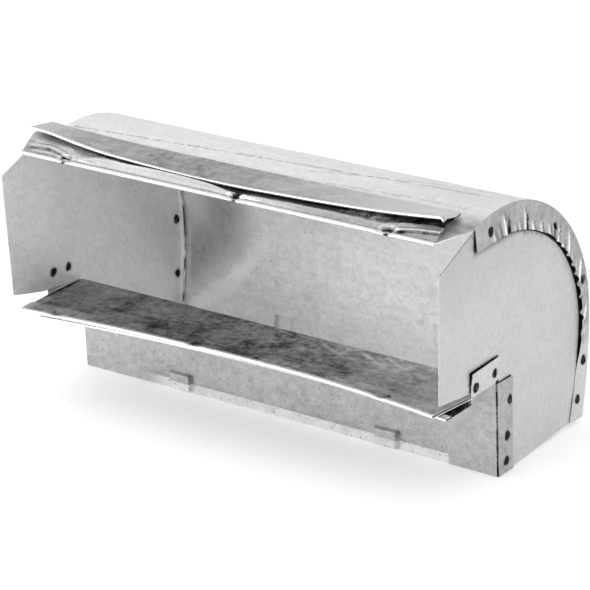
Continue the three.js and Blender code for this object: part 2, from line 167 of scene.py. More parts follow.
def line_distance(a, b, line):
    """Distance of (a, b) points from a polyline."""
    nearest = np.full(np.broadcast(a, b).shape, 1e9)
    for (a0, b0), (a1, b1) in zip(line, line[1:]):
        da, db = a1 - a0, b1 - b0
        t = clamp01(((a - a0) * da + (b - b0) * db) / (da * da + db * db))
        nearest = np.minimum(nearest, hypot(a - a0 - t * da, b - b0 - t * db))
    return nearest


def crease(a, b, line, width):
    """1 on a polyline and 0 beyond width from it."""
    return bell(line_distance(a, b, line) / width)


# ---- meshes ----
def vertex_normals(points, faces):
    corners = points[faces]
    across = np.cross(corners[:, 2] - corners[:, 0], corners[:, -1] - corners[:, 1])
    total = np.zeros_like(points)
    for k in range(faces.shape[1]):
        np.add.at(total, faces[:, k], across)
    return total / np.maximum(np.linalg.norm(total, axis=1, keepdims=True), 1e-12)


def shell(points, faces, thickness=SHEET):
    """The closed skin of a sheet round its middle surface: (points, faces, source vertex, layer).

    Layer 0 is the side the faces look to, 1 the other side and 2 the sheared edge.
    """
    used, packed = np.unique(faces, return_inverse=True)
    faces = packed.reshape(faces.shape)
    points = points[used]
    n = len(points)
    normal = vertex_normals(points, faces)
    tails = faces.ravel()
    heads = np.roll(faces, -1, axis=1).ravel()
    open_edge = ~np.isin(tails * n + heads, heads * n + tails)
    tails, heads = tails[open_edge], heads[open_edge]
    out = np.zeros_like(points)
    sideways = np.cross(points[heads] - points[tails], normal[tails])
    np.add.at(out, tails, sideways)
    np.add.at(out, heads, sideways)
    rim = np.unique(concatenate([tails, heads]))
    length = np.maximum(np.linalg.norm(out[rim], axis=1, keepdims=True), 1e-12)
    bulge = points[rim] + out[rim] / length * EDGE_ROUND
    where = np.zeros(n, int)
    where[rim] = 2 * n + arange(len(rim))
    skin = concatenate([points + normal * thickness / 2, points - normal * thickness / 2, bulge])
    a, b = tails, heads
    quads = concatenate([
        stack([b, a, where[a], where[b]], 1),
        stack([where[b], where[a], a + n, b + n], 1),
    ])
    sheets = [faces, faces[:, ::-1] + n]
    source = used[concatenate([arange(n), arange(n), rim])]
    layer = np.repeat([0, 1, 2], [n, n, len(rim)])
    all_faces = [f.tolist() for f in sheets] + [quads.tolist()]
    return skin, sum(all_faces, []), source, layer


def grid_shell(grid, keep=None, flip=False):
    """The shell of a sheet whose middle surface is a grid of points; keep picks its cells."""
    index = arange(grid.shape[0] * grid.shape[1]).reshape(grid.shape[:2])
    cells = stack([index[:-1, :-1], index[1:, :-1], index[1:, 1:], index[:-1, 1:]], axis=-1)
    faces = cells.reshape(-1, 4) if keep is None else cells[keep]
    return shell(grid.reshape(-1, 3), faces[:, ::-1] if flip else faces)


def merged(*values, apart=0.2):
    """Sorted values without near doubles; values given first are the ones kept."""
    kept = []
    for value in concatenate(values):
        if all(abs(value - other) > apart for other in kept):
            kept.append(float(value))
    return np.array(sorted(kept))


def plane_faces(outline, inner):
    """Triangles of a flat outline of (a, b) points with more points inside it."""
    n = len(outline)
    corners = [Vector(p) for p in [*outline, *inner]]
    edges = [(i, (i + 1) % n) for i in range(n)]
    made = delaunay_2d_cdt(corners, edges, [list(range(n))], 1, 1e-5)
    return np.array([tuple(p) for p in made[0]]), np.array([list(f) for f in made[2]])


def placed(name, data):
    holder = bpy.data.objects.new(name, data)
    bpy.context.scene.collection.objects.link(holder)
    return holder


def new_piece(name, parts, nodes, tint=None, sharp=38):
    """A piece from closed shells. tint holds each shell's grime together with painted shade and painted
    highlights: a value for each source vertex, or one row of them for its layer 0 and one for the rest."""
    points = concatenate([p[0] for p in parts])
    faces, start, rims, tints = [], 0, [], []
    for k, (skin, part_faces, source, layer) in enumerate(parts):
        faces.extend([[i + start for i in f] for f in part_faces])
        start += len(skin)
        rims.append(layer == 2)
        values = np.zeros((1, source.max() + 1)) if tint is None else np.atleast_2d(tint[k])
        tints.append(values[np.minimum(layer, len(values) - 1), source])
    mesh = bpy.data.meshes.new(name)
    mesh.from_pydata(to_row(points).tolist(), [], faces)
    mesh.validate()
    # these values hold real grime and also painted shade and painted highlights
    for label, values in (("rim", rims), ("grime_and_shade", tints)):
        attribute = mesh.attributes.new(label, "FLOAT", "POINT")
        attribute.data.foreach_set("value", concatenate(values).astype(np.float32))
    mesh.shade_smooth()
    mesh.set_sharp_from_angle(angle=math.radians(sharp))
    piece = placed(name, mesh)
    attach(piece, "root")
    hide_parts(*nodes)
    return piece


# ---- shared curves ----
def rear_y(z):
    return DEPTH - REAR_LEAN * clamp01(1 - z / LEAN_Z) ** 1.6


def roof_lip_z(y):
    return mix(ROOF_END[1], ROOF_LIP_Z, (ROOF_END[0] - y) / (ROOF_END[0] + ROOF_REACH))


def shelf_bow(x, y):
    """How far the shelf's front bows up: less towards its ends."""
    span = np.where(x < BOW_X, 165.0, 105.0)
    return SHELF_BOW * (1 - ((x - BOW_X) / span) ** 2) * clamp01(-y / SHELF_REACH)


def pressed(lift, y, z, welds):
    """The stand-off of a flange, pressed flat round its spot welds."""
    for _, weld_y, weld_z in welds:
        near = hypot(y - weld_y, z - weld_z)
        lift = lift * (1 - np.exp(-((near / 3.6) ** 2))) - 0.16 * bell(near / 3.4)
    return lift


def flare(y, z):
    """How far an end plate's front part bends outwards: all of it high up, its front low down."""
    high = ease((z - 72) / 30)
    start = mix(FLARE_START, 17.0, high)
    share = clamp01((-y - start) / (PLATE_REACH + 1 - start))
    return mix(FLARE_LOW, FLARE, (z - 55) / 65) * mix(share ** 1.5, share ** 1.05, high)


def rim_z(y):
    """Lower edge of an end plate."""
    return 0.2 + RIM_RISE * clamp01((y - RISE_FROM) / (RISE_TO - RISE_FROM))


def around(y, z, radius, angles):
    """(y, z) of points on a circle."""
    return [(y + radius * cos(a), z + radius * sin(a)) for a in angles]


def across_path(y, z):
    """Unit vectors to the left of a side-view path: inwards on one that runs up the rear."""
    dy, dz = np.gradient(y), np.gradient(z)
    length = hypot(dy, dz)
    return -dz / length, dy / length


def stop_bump(along, above, stop):
    """Profile of a stop pressed out of a wall: 1 on its face, 0 off it, steep at its top."""
    width, height, side, top, foot = stop
    sides = clamp01((width / 2 - np.abs(along)) / side)
    ends = np.minimum(clamp01((height - above) / top), clamp01(above / foot))
    return np.minimum(sides, ends)


def stop_levels(stop, bottom):
    """Heights where a stop's profile turns."""
    _, height, _, top, foot = stop
    return bottom + np.array([0, foot, height - top, height])


def stop_lines(stop, centre):
    """Grid lines that a stop needs along the wall, for both stops at +-centre."""
    width, _, side, _, _ = stop
    near = np.array([-width / 2 - 0.5, -width / 2, side - width / 2, 0])
    near = concatenate([near, [side / 2 - width / 2], -near])
    return concatenate([centre + near, -centre + near])


def bend_steps():
    """(depth, x) of the columns round the fold at an end, from the flange to the flat sheet."""
    radius = BEND - SHEET / 2
    for p in turns(90, 0, 5)[1:-1]:
        yield BEND - radius * cos(p), FLAT + radius * sin(p)


# ---- wrapper: rear wall, heel, roof and its side flanges ----
FLANGE_CELLS = 14
FLANGE_R = 63.0  # the gathered flange ends about this far from the heel's centre
EDGE_Y, EDGE_Z, EDGE_R = 8.5, 53.5, 65.6  # arc of its free edge
FRONT_END_Z = 118.9  # height of the free edge under the roof
REAR_WIDTHS = (11.8, 8.4)  # of the flange beside the rear wall, at its foot and its top
ROOF_LIP_HALF = 123.1  # the roof narrows to this at its front
REAR_STOP = (12.0, 10.0, 0.9, 0.7, 2.5)  # width, height, and its side, top and foot slopes
REAR_STOP_X, REAR_STOP_Z = 57.0, 5.0
CUSPS = (48, 43, 36, 29.5, 24, 18, 11.6, 4, -1, -6)  # heel angles where the flange is tacked down
PINCHES = (  # heel angle, radius of the tip, half width, and half width of a pocket above
    (86.3, 70.6, 1.8, 0.0), (73.2, 69.6, 1.55, 0.0), (52.0, 70.8, 0.7, 2.1),
)
RIDGES = (  # heel angle, half width in degrees, height, share of the flange from its free edge
    (97.5, 1.4, 0.3, 0.6), (92.4, 1.1, -0.5, 0.7), (89.7, 1.0, 0.9, 0.95), (83.4, 1.0, 0.3, 0.3),
    (80.0, 0.9, 0.45, 0.35), (75.6, 0.8, 1.0, 0.95), (70.4, 1.2, 0.7, 0.4),
    (64.4, 1.2, 0.7, 0.4), (57.8, 1.2, 0.6, 0.45), (49.2, 1.1, 0.8, 0.75),
    (44.2, 1.0, 0.6, 0.4), (38.8, 1.4, 1.0, 1.0), (34.0, 0.9, 0.4, 0.5), (28.0, 0.9, 0.4, 0.5),
    (22.4, 1.5, 1.0, 1.0), (14.0, 1.1, 0.5, 0.5), (3.0, 1.5, 0.9, 0.9), (-5.0, 1.1, 0.5, 0.6),
)

# the streak: a painted highlight along a crease in the inside of the rear wall
STREAK = ((-124, 5), (-117, 9.5), (-95, 23.7), (-81, 39.6), (-68, 58), (-70, 72), (-76, 92))
DARKER_ZONE = ((-122, 34), (-113, 42), (-100, 52), (-96, 66))  # a darker zone beside the streak


def flange_edge(angle):
    """Free edge (y, z) of the side flange opposite a heel angle."""
    a = np.radians(np.minimum(angle, 90))
    t = clamp01((angle - 90) / (HEEL_SWEEP - 90))
    y = np.where(angle > 90, mix(EDGE_Y, ROOF_END[0], t), EDGE_Y + EDGE_R * np.cos(a))
    z = np.where(angle > 90, FRONT_END_Z, EDGE_Z + EDGE_R * np.sin(a))
    return y, z


def pleats(angle, q, side):
    """How far the gathered flange stands off the end plate at q from its bend (0) to its edge
    (1), how much of it the ridges make, and how far its edge draws back."""
    stand = through(
        [(-45, 0.05), (-17, 0.1), (-12, 0.9), (0, 1.4), (40, 1.6), (56, 1.2), (66, 0.3),
         (98, 0.12), (107.5, 0.8)], angle)
    cusps = clamp01(sum(np.exp(-(((angle - cusp) / 0.9) ** 2)) for cusp in CUSPS))
    ridges = 0
    for at, half_width, height, share in RIDGES:
        reach = clamp01((q - 1 + share) / share)
        lean = at + 3.0 * (0.5 - q)  # the ridges run a little askew of the radius
        width = half_width * (0.35 + 0.85 * reach)
        ridges = ridges + height * bell((angle - lean) / width) * ease(reach * 2.2)
    lift = stand * q ** 1.3 * (1 - 0.8 * cusps) + 0.75 * ridges
    lift = lift + 0.1 * waves(21 + side, 5, 7, 19)(angle, 0 * angle) * q
    scallop = 0.5 * (1 - cusps) * ease((angle + 13) / 5) * ease((62 - angle) / 6)
    return lift, ridges, scallop


def pinch_shift(angle, r):
    """Degrees by which the pinched notches push the flange aside at a radius."""
    shift = 0
    for centre, tip, half_width, pocket in PINCHES:
        opened = half_width * clamp01((tip - r) / (tip - 61.5)) + pocket * bell((r - 68.3) / 2.2)
        off = angle - centre
        push = np.degrees(opened / r) * np.exp(-np.abs(off) / 2.0)
        shift = shift + np.where(np.abs(off) < 7, np.sign(off) * push, 0)
    return shift


def heel_flange(name, y, z, angle):
    """Columns of points of one side flange, from its free edge to its bend, and their grime with
    painted shade and painted highlights.
    """
    side, welds = SIDES[name], weld_places(name, "wrapper")
    edge_y, edge_z = flange_edge(np.maximum(angle, 0))
    share = clamp01((z - REAR_RIM) / (HEEL_Z - REAR_RIM))
    edge_z = np.where(angle < 0, mix(REAR_RIM + 0.6, EDGE_Z, share), edge_z)
    edge_y = np.where(angle < 0, y - mix(*REAR_WIDTHS, share), edge_y)
    reach = hypot(edge_y - y, edge_z - z)
    ey, ez = (edge_y - y) / reach, (edge_z - z) / reach
    columns, stains_and_shade = [], []
    for q in linspace(1, 0, FLANGE_CELLS + 1):
        r = mix(HEEL_R, FLANGE_R, q)
        moved = np.radians(pinch_shift(angle, r))
        lift, ridges, scallop = pleats(angle, q, side)
        d = mix(BEND, reach, q) - scallop * q * q
        cy, cz = y + ey * d - HEEL_Y, z + ez * d - HEEL_Z
        py = HEEL_Y + cy * np.cos(moved) - cz * np.sin(moved)
        pz = HEEL_Z + cy * np.sin(moved) + cz * np.cos(moved)
        x = side * (LAP + SHEET / 2 + pressed(lift, py, pz, welds))
        columns.append(stack([x, py, pz], 1))
        # painted shade in the pinched pockets and beside the ridges, a painted highlight on the ridges
        pinched = sum(clamp01((tip + 1.5 - r) / 4) * bell((angle - at) / 1.2)
                      for at, tip, _, _ in PINCHES)
        gathered = ease((angle + 16) / 14)
        beside = 0.35 * bell((pleats(angle + 1.6, q, side)[1] - 0.4) / 0.5) * (ridges < 0.1)
        stains_and_shade.append(gathered * (0.18 + 0.3 * pinched - 0.75 * ridges + beside) + 0.36)
    for d, x in bend_steps():
        columns.append(stack([np.full(len(y), side * x), y + ey * d, z + ez * d], 1))
        # painted dark line along the bend
        stains_and_shade.append(np.full(len(y), 0.5))
    return columns, stains_and_shade


def wrapper_grime_and_shade(x, y, z, angle):
    """Grime and painted light and shade of the wrapper's outside and of its inside, before its flanges.
    """
    worn = bell((x - 125) / 15) * bell((y + 17) / 15) * (z > 120)
    outside = 0.08 * ease((x - 20) / 80) * (z > 112)
    outside = outside + 0.55 * worn * (0.9 + 0.2 * waves(61, 8, 2.5, 9)(x, y))
    # inside: darker in a zone beside the streak, painted light growing towards the right, and a painted
    # highlight along the streak
    inside = 0.56 * crease(x, z, DARKER_ZONE, 24) - 0.16 * ease((x + 90) / 130)
    inside = inside - 0.34 * crease(x, z, STREAK, 5) * (0.3 + 0.7 * ease((62 - z) / 30))
    # painted shade at the sides of the rear stops
    stop_side_shade = bell((np.abs(np.abs(x) - REAR_STOP_X) - 5.6) / 0.9)
    stop_side_shade = stop_side_shade * (z > REAR_STOP_Z) * (z < REAR_STOP_Z + REAR_STOP[1])
    inside = (inside + 0.5 * stop_side_shade) * ease((125 - np.abs(x)) / 6) * (angle < 60)[:, None]
    return outside, inside


def wrapper():
    rear_z = merged(stop_levels(REAR_STOP, REAR_STOP_Z), spans(REAR_RIM, 12, 17, 12, HEEL_Z))[:-1]
    angles = linspace(0, HEEL_SWEEP, 166)
    for centre, _, _, _ in PINCHES:
        angles = angles[np.abs(angles - centre) > 0.25]
        angles = np.append(angles, [centre - 0.01, centre + 0.01])
    angles = np.sort(angles)
    radians = np.radians(angles)
    lip_y = linspace(ROOF_END[0], -ROOF_REACH, 16)[1:]
    angle = concatenate([(rear_z - HEEL_Z) * 0.764, angles, np.full(len(lip_y), 110.0)])
    y = concatenate([rear_y(rear_z), HEEL_Y + HEEL_R * np.cos(radians), lip_y])
    z = concatenate([rear_z, HEEL_Z + HEEL_R * np.sin(radians), roof_lip_z(lip_y)])
    rows, n_flanged = len(y), len(rear_z) + len(angles)
    inward_y, inward_z = across_path(y, z)
    ny, nz = -inward_y, -inward_z
    heel = slice(len(rear_z), n_flanged)
    ny[heel], nz[heel] = np.cos(radians), np.sin(radians)

    half = np.full(rows, FLAT)
    along_roof = (ROOF_END[0] - lip_y) / (ROOF_END[0] + ROOF_REACH)
    half[n_flanged:] = mix(SKIN, ROOF_LIP_HALF, along_roof)
    dish = waves(5, 6, 70, 190)
    ripple = waves(8, 6, 16, 60)
    s = concatenate([[0], np.cumsum(hypot(np.diff(y), np.diff(z)))])
    middle = []
    for b in merged([-FLAT, FLAT], stop_lines(REAR_STOP, REAR_STOP_X), spans(-FLAT, 70, FLAT)) / FLAT:
        x = b * half
        fade = clamp01((1 - abs(b)) * 8)
        sunk = 0.5 + 0.28 * np.maximum(dish(x, s), -1.5) + 0.04 * ripple(x, s)
        stops = stop_bump(np.abs(x) - REAR_STOP_X, z - REAR_STOP_Z, REAR_STOP) * (angle < 0)
        out = 2.0 * stops - fade * sunk * np.where(z < 62, 0.5, 1.0)
        out = out - 0.5 * crease(x, z, STREAK, 16) * (angle < 45)
        d = SHEET / 2 - out
        py = np.minimum(y - ny * d, DEPTH - SHEET / 2 - 0.01)
        middle.append(stack([x, py, z - nz * d], 1))

    flanges = [heel_flange(name, y, z, angle) for name in SIDES]
    grid = stack(flanges[0][0] + middle + flanges[1][0][::-1], 1)
    n_side = len(flanges[0][0])
    keep = np.ones((rows - 1, grid.shape[1] - 1), bool)
    keep[n_flanged - 1:, :n_side] = False
    keep[n_flanged - 1:, -n_side:] = False
    for centre, tip, _, _ in PINCHES:
        row = int(np.argmin(np.abs(angle - centre + 0.01)))
        cut = int(round((HEEL_R - tip) / (HEEL_R - FLANGE_R) * FLANGE_CELLS))
        keep[row, : FLANGE_CELLS - cut] = False
        keep[row, -(FLANGE_CELLS - cut):] = False
    tint, inside = wrapper_grime_and_shade(*np.moveaxis(grid, -1, 0), angle)
    tint[:, :n_side] = stack(flanges[0][1], 1)
    tint[:, -n_side:] = stack(flanges[1][1][::-1], 1)
    return new_piece(
        "wrapper_sheet", [grid_shell(grid, keep)], ["wrapper"],
        [stack([tint.ravel(), (tint + inside).ravel()])],
    )


# ---- collar front wall, shelf, their flanges and tabs ----
FRONT_STOP = (14.0, 9.6, 1.0, 0.6, 0.9)
FRONT_STOP_X, FRONT_STOP_Z = 64.0, 0.4
PANEL_CELLS = 12
FOLD_R = 0.95  # middle radius of the fold between wall and shelf
WALL_DULL = 0.37
# painted shade over the shelf, darkest in its middle
SHELF_SHADE = ((-127, 0.64), (-60, 0.75), (0, 0.82), (50, 0.75), (80, 0.62), (127, 0.52))
BRIGHT_BAND = (-90.0, 99.0, 5.6)  # a painted highlight along the rim from here to here, up to this height


def panel_flange(name, y, z, wall, shelf):
    """Columns of points of one end's seam flange and tab, from their free edges to the bend."""
    side = SIDES[name]
    front, rear, tab_top = TABS[name]
    welds = weld_places(name, "collar") + weld_places(name, "tab")
    stretch = clamp01((y[shelf] - front) / (-1 - front))
    along = np.where(y[shelf] >= front - 0.01, mix(front, rear, stretch), y[shelf])
    high = tab_top - SHELF_Z - 0.8 * (1 - stretch)
    columns = []
    for q in linspace(1, 0, PANEL_CELLS + 1):
        py, pz, lift = y.copy(), z.copy(), np.zeros(len(y))
        py[wall] = mix(BEND, SEAM, q)
        py[shelf] = mix(y[shelf], along, ease(q * 12))
        pz[shelf] = SHELF_Z - BEND + mix(BEND * 2, high + BEND, q)
        lift[wall] = 0.55 * q ** 2 * ease((z[wall] - 34) / 14) + 0.12 * q
        lift[shelf] = 0.75 * q ** 1.5 + 0.4 * (1 - stretch) * q
        x = side * (LAP + SHEET / 2 + pressed(lift, py, pz, welds))
        columns.append(stack([x, py, pz], 1))
    for d, x in bend_steps():
        py, pz = y.copy(), z.copy()
        py[wall] = d
        pz[shelf] = SHELF_Z - SHEET + d
        columns.append(stack([np.full(len(y), side * x), py, pz], 1))
    return columns


def front_panel():
    width, height = FRONT_STOP[:2]
    band_left, band_right, band_top = BRIGHT_BAND
    wall_z = merged(
        [EDGE_ROUND], stop_levels(FRONT_STOP, FRONT_STOP_Z), [band_top - 0.6, band_top],
        spans(0.7, 12, 16, 12, SEAM_TOP), [SEAM_TOP], apart=0.25,
    )
    shelf_y = -spans(1.0, 12, 21, 3, 26, 16, SHELF_REACH)
    arc = turns(0, 90, 7)[1:-1]
    top = SHELF_Z - SHEET / 2
    wall_y = np.full(len(wall_z), SHEET / 2)
    y = concatenate([wall_y, SHEET / 2 - FOLD_R + FOLD_R * np.cos(arc), shelf_y])
    z = concatenate([wall_z, top - FOLD_R + FOLD_R * np.sin(arc), np.full(len(shelf_y), top)])
    rows, n_wall, n_shelf = len(y), len(wall_z), len(y) - len(shelf_y)
    wall = arange(rows) < n_wall
    dish = waves(11, 6, 50, 150)
    ripple = waves(12, 7, 12, 40)
    middle = []
    for column in merged(
        [-FLAT, 0.7 - FLAT, FLAT - 0.7, FLAT, band_right, band_right + 1],
        stop_lines(FRONT_STOP, FRONT_STOP_X), spans(-FLAT, 100, FLAT),
    ):
        front = TABS["left"][0] if column < 0 else TABS["right"][0]
        x = column * mix(1, (HALF - 2) / FLAT, clamp01((front - y) / (SHELF_REACH + front)))
        fade = clamp01((FLAT - abs(column)) / 12)
        uneven = 0.22 * dish(x, z) + 0.04 * ripple(x, z)
        out = fade * uneven * clamp01(z / 8) * clamp01((46 - z) / 9)
        out = out + 2.2 * stop_bump(np.abs(x) - FRONT_STOP_X, z - FRONT_STOP_Z, FRONT_STOP)
        band = ease((band_top - z) / 0.6) * ease((x - band_left) / 12) * ease(band_right + 1 - x)
        out = out - 0.3 * band * (np.abs(np.abs(x) - FRONT_STOP_X) > width / 2)
        pz = z + shelf_bow(x, y) + fade * ~wall * 0.12 * dish(x, y) * clamp01(-y / 10)
        middle.append(stack([x, y - out * wall, pz], 1))
    sides = [panel_flange(name, y, z, slice(0, n_wall), slice(n_shelf, rows)) for name in SIDES]
    grid = stack(sides[0] + middle + sides[1][::-1], 1)
    n_side = len(sides[0])
    keep = np.ones((rows - 1, grid.shape[1] - 1), bool)
    for columns, name in ((slice(0, n_side), "left"), (slice(-n_side, None), "right")):
        keep[n_wall - 1: n_shelf, columns] = False
        keep[(y[1:] < TABS[name][0] - 0.01), columns] = False
    x, py, pz = np.moveaxis(grid, -1, 0)
    soft = waves(14, 7, 25, 80)(x, py)
    spots = waves(16, 9, 4, 13)(x, py)
    past = np.where(x < 0, x + FRONT_STOP_X, x - FRONT_STOP_X)
    shaded = bell((past - width / 2 + 0.5) / 0.9) + 0.6 * bell((past + width / 2) / 0.6)
    shaded = shaded * (pz > FRONT_STOP_Z + 1) * (pz < FRONT_STOP_Z + height)
    tint = np.where(
        wall[:, None],
        # the wall: a painted highlight along the rim band, painted shade beside the stops
        WALL_DULL - 0.46 * ease((band_top - pz) / 0.6) * ease((x - band_left) / 20)
        * (x < band_right + 0.5) + 0.6 * shaded,
        # the shelf: painted shade, mottled, with lighter patches near its rear and painted shade along
        # its left end by the plate
        through(SHELF_SHADE, x) + 0.06 * soft
        - 0.45 * bell((x - 62) / 62) * bell((py + 8) / 15) * ease((spots - 0.2) / 0.9)
        + 0.5 * ease((-125.4 - x) / 0.8) * (py < -2),
    )
    tint[n_wall:, : n_side] = 0.05
    tint[n_wall:, -n_side:] = 0.05
    for c in range(PANEL_CELLS + 1, n_side):  # painted dark reflection in the bends
        tint[:n_wall, c] = tint[:n_wall, -1 - c] = 1.05
    return new_piece(
        "front_panel_sheet", [grid_shell(grid, keep, flip=True)], ["front_panel"],
        [tint.ravel()],
    )


# ---- end plates ----
UNDER_DARK = 1.04  # painted shadow on an end plate where a flange shades it
EDGE_DARK = 0.4  # and how far that shows past the flange's edge
HIGH_DARK = 0.55  # and more of it under the heel's top, where the sheet hides the first part
OUTSIDE_DULL, INSIDE_DULL, CHAMFER_DARK = 0.38, 0.07, 0.9
CHAMFERS = {"left": [(-28, 129.4), (-49.1, 119)], "right": [(-49, 119.4)]}
FIELD_STEP = 3.0  # between the sample points of a plate
WELD_RINGS = ((0.0, 1), (1.3, 8), (2.4, 12), (3.6, 14), (4.8, 14))  # radius, points


def under_flange(name):
    """Outlines (y, z) of what the wrapper's flange, the tab and the collar's flange cover."""
    edge_y, edge_z = flange_edge(linspace(0, HEEL_SWEEP, 110))
    rear_z = linspace(REAR_RIM, EDGE_Z, 44)[:-1]
    rear = rear_y(rear_z * HEEL_Z / EDGE_Z) - mix(*REAR_WIDTHS, rear_z / EDGE_Z)
    inside = list(zip(rear, rear_z)) + list(zip(edge_y, edge_z))
    wide = [(ROOF_END[0], 140), (90, 140), (90, REAR_RIM)]
    front, back, top = TABS[name]
    tab = [(front, SHELF_Z - 2), (front, top - 0.8), (back, top), (back, SHELF_Z - 2)]
    collar = [(0, -1), (0, SEAM_TOP), (SEAM, SEAM_TOP), (SEAM, -1)]
    return [inside + wide, tab, collar]


def signed_distance(outline, y, z):
    """Distance of points to a closed outline, negative inside it."""
    closed = [*outline, outline[0]]
    inside = np.zeros(np.shape(y), bool)
    for (y0, z0), (y1, z1) in zip(closed, closed[1:]):
        if z0 != z1:
            inside ^= ((z0 > z) != (z1 > z)) & (y < (y1 - y0) * (z - z0) / (z1 - z0) + y0)
    return line_distance(y, z, closed) * np.where(inside, -1, 1)


def resampled(outline, step):
    dense = []
    for (y0, z0), (y1, z1) in zip(outline, outline[1:] + outline[:1]):
        count = max(1, int(math.hypot(y1 - y0, z1 - z0) / step))
        dense += [(mix(y0, y1, k / count), mix(z0, z1, k / count)) for k in range(count)]
    return dense


def plate_outline(name):
    """Outline (y, z) of an end plate, from the foot of the collar's front round the rear."""
    inset = GAP + SHEET
    r = HEEL_R - inset
    z = linspace(rim_z(RISE_TO), LEAN_Z, 14)
    angles = turns(0, HEEL_SWEEP, 60)
    return [
        (inset, 0.2), (RISE_FROM, 0.2), *zip(rear_y(z) - inset, z),
        *zip(HEEL_Y + r * np.cos(angles), HEEL_Z + r * np.sin(angles)),
        (ROOF_END[0] - 1.4, 128.0), *CHAMFERS[name], (-PLATE_REACH, 118), (-PLATE_REACH, 55.8),
        (-29.5, 51.8), (-0.4, SHELF_Z + 0.5), (inset, SHELF_Z - 0.8),
    ]


def plate_samples(outline, covers, welds):
    """Points inside an end plate: a field, rows beside what is covered, rings round the welds."""
    field = []
    for gz in arange(1.5, 134, FIELD_STEP):
        shift = FIELD_STEP / 2 if int(gz / FIELD_STEP) % 2 else 0.0
        field += [(gy + shift, gz) for gy in arange(-48, 83, FIELD_STEP)]
    for cover in covers:
        fine = np.array(resampled(cover, 1.2))
        along = np.roll(fine, -1, axis=0) - np.roll(fine, 1, axis=0)
        normal = stack([along[:, 1], -along[:, 0]], 1)
        normal = normal / np.linalg.norm(normal, axis=1, keepdims=True)
        outward = np.sign(np.sum(fine[:, 0] * along[:, 1] - fine[:, 1] * along[:, 0]))
        for offset in (EDGE_DARK - 0.1, EDGE_DARK + 0.1, EDGE_DARK + HIGH_DARK):
            field += [tuple(p) for p in fine + normal * outward * offset]
    field = np.array(field)
    clear = np.all([hypot(*(field - w).T) > 5.5 for w in welds], axis=0)
    samples = [field[clear]]
    for ring, count in WELD_RINGS:
        turn = tau * (arange(count) + 0.5 * (ring > 2)) / count
        circle = ring * stack([np.cos(turn), np.sin(turn)], 1)
        samples += [weld + circle for weld in welds]
    samples = concatenate(samples)
    return samples[signed_distance(outline, *samples.T) < -1.0]


def turned_lip(side):
    """The edge turned in along the rear wall and the heel, a little wavy, and its painted light and
    shade.
    """
    lip_z = linspace(REAR_RIM + 1.6, LEAN_Z, 30)
    lip_angle = linspace(0, 100, 90)
    radians = np.radians(lip_angle)
    y = concatenate([rear_y(lip_z), HEEL_Y + HEEL_R * np.cos(radians)])
    z = concatenate([lip_z, HEEL_Z + HEEL_R * np.sin(radians)])
    ny, nz = across_path(y, z)
    along = concatenate([lip_z - LEAN_Z - 8, lip_angle * 1.3])
    wave = waves(40 + side, 5, 9, 30)(along, 0 * along)
    width = 3.1 + 0.45 * wave - 0.5 * ease((along + 10) / 60)
    shares = linspace(0, 1, 7)
    columns = []
    for t in shares:
        off = GAP + 1.5 * SHEET + 0.25 + 0.55 * t * t * (1.2 + 0.8 * wave)
        columns.append(stack([side * (LAP - 2 * GAP - t * width), y + ny * off, z + nz * off], 1))
    # a painted highlight on the strip and patchy painted shade towards its free edge, where it stands
    # off the wall
    patchy_shade = clamp01(0.3 + waves(44 + side, 6, 8, 30)(along, 0 * along))
    soil_and_shade = -0.15 + 1.1 * ease((shares - 0.55) / 0.4) * patchy_shade[:, None]
    return grid_shell(stack(columns, 1), flip=side < 0), soil_and_shade.ravel()


def end_plate(name):
    side = SIDES[name]
    outline = resampled(plate_outline(name), FIELD_STEP)
    covers = under_flange(name)
    welds = [(wy, wz) for _, wy, wz in weld_places(name)]
    flat, faces = plane_faces(outline, plate_samples(outline, covers, welds))
    y, z = flat.T
    dish = waves(30 + side, 6, 60, 150)
    ripple = waves(33 + side, 7, 14, 45)
    from_edge = clamp01(-signed_distance(outline, y, z) / 12)
    depth = (0.3 * dish(y, z) + 0.05 * ripple(y, z)) * from_edge
    for wy, wz in welds:
        near = hypot(y - wy, z - wz)
        depth = depth + 0.35 * bell(near / 3.0) - 0.2 * bell((near - 4) / 2.2)
    x = side * (HALF - SHEET / 2 + flare(y, z) - 0.6 * np.abs(depth) - 0.1 * depth)
    plate = shell(stack([x, y, z], 1), faces[:, ::-1] if side < 0 else faces)
    reach = [signed_distance(cover, y, z) for cover in covers]
    reach[0] = reach[0] - HIGH_DARK * ease((z - 100) / 10)
    # painted shadow under the flanges and the tab, reaching a little past their edges
    dark = np.max([ease((EDGE_DARK - d) / 0.2 + 0.5) for d in reach], axis=0)
    outside = OUTSIDE_DULL + 0.08 * ease((z - 85) / 40)
    # the sheared edge: darker at the chamfer, and painted shade along the front edge
    chamfer = CHAMFER_DARK * ease((z - 117) / 2) * (y < ROOF_END[0])
    front_edge = 0.55 * ease((0.8 - PLATE_REACH - y) * 2)
    soil_and_shade = stack([
        mix(outside, UNDER_DARK, dark), np.full(len(y), INSIDE_DULL),
        np.max([outside, chamfer, front_edge], axis=0),
    ])
    lip, lip_soil_and_shade = turned_lip(side)
    return new_piece(
        f"{name}_end_sheet", [plate, lip], [f"{name}_end_plate"], [soil_and_shade, lip_soil_and_shade]
    )


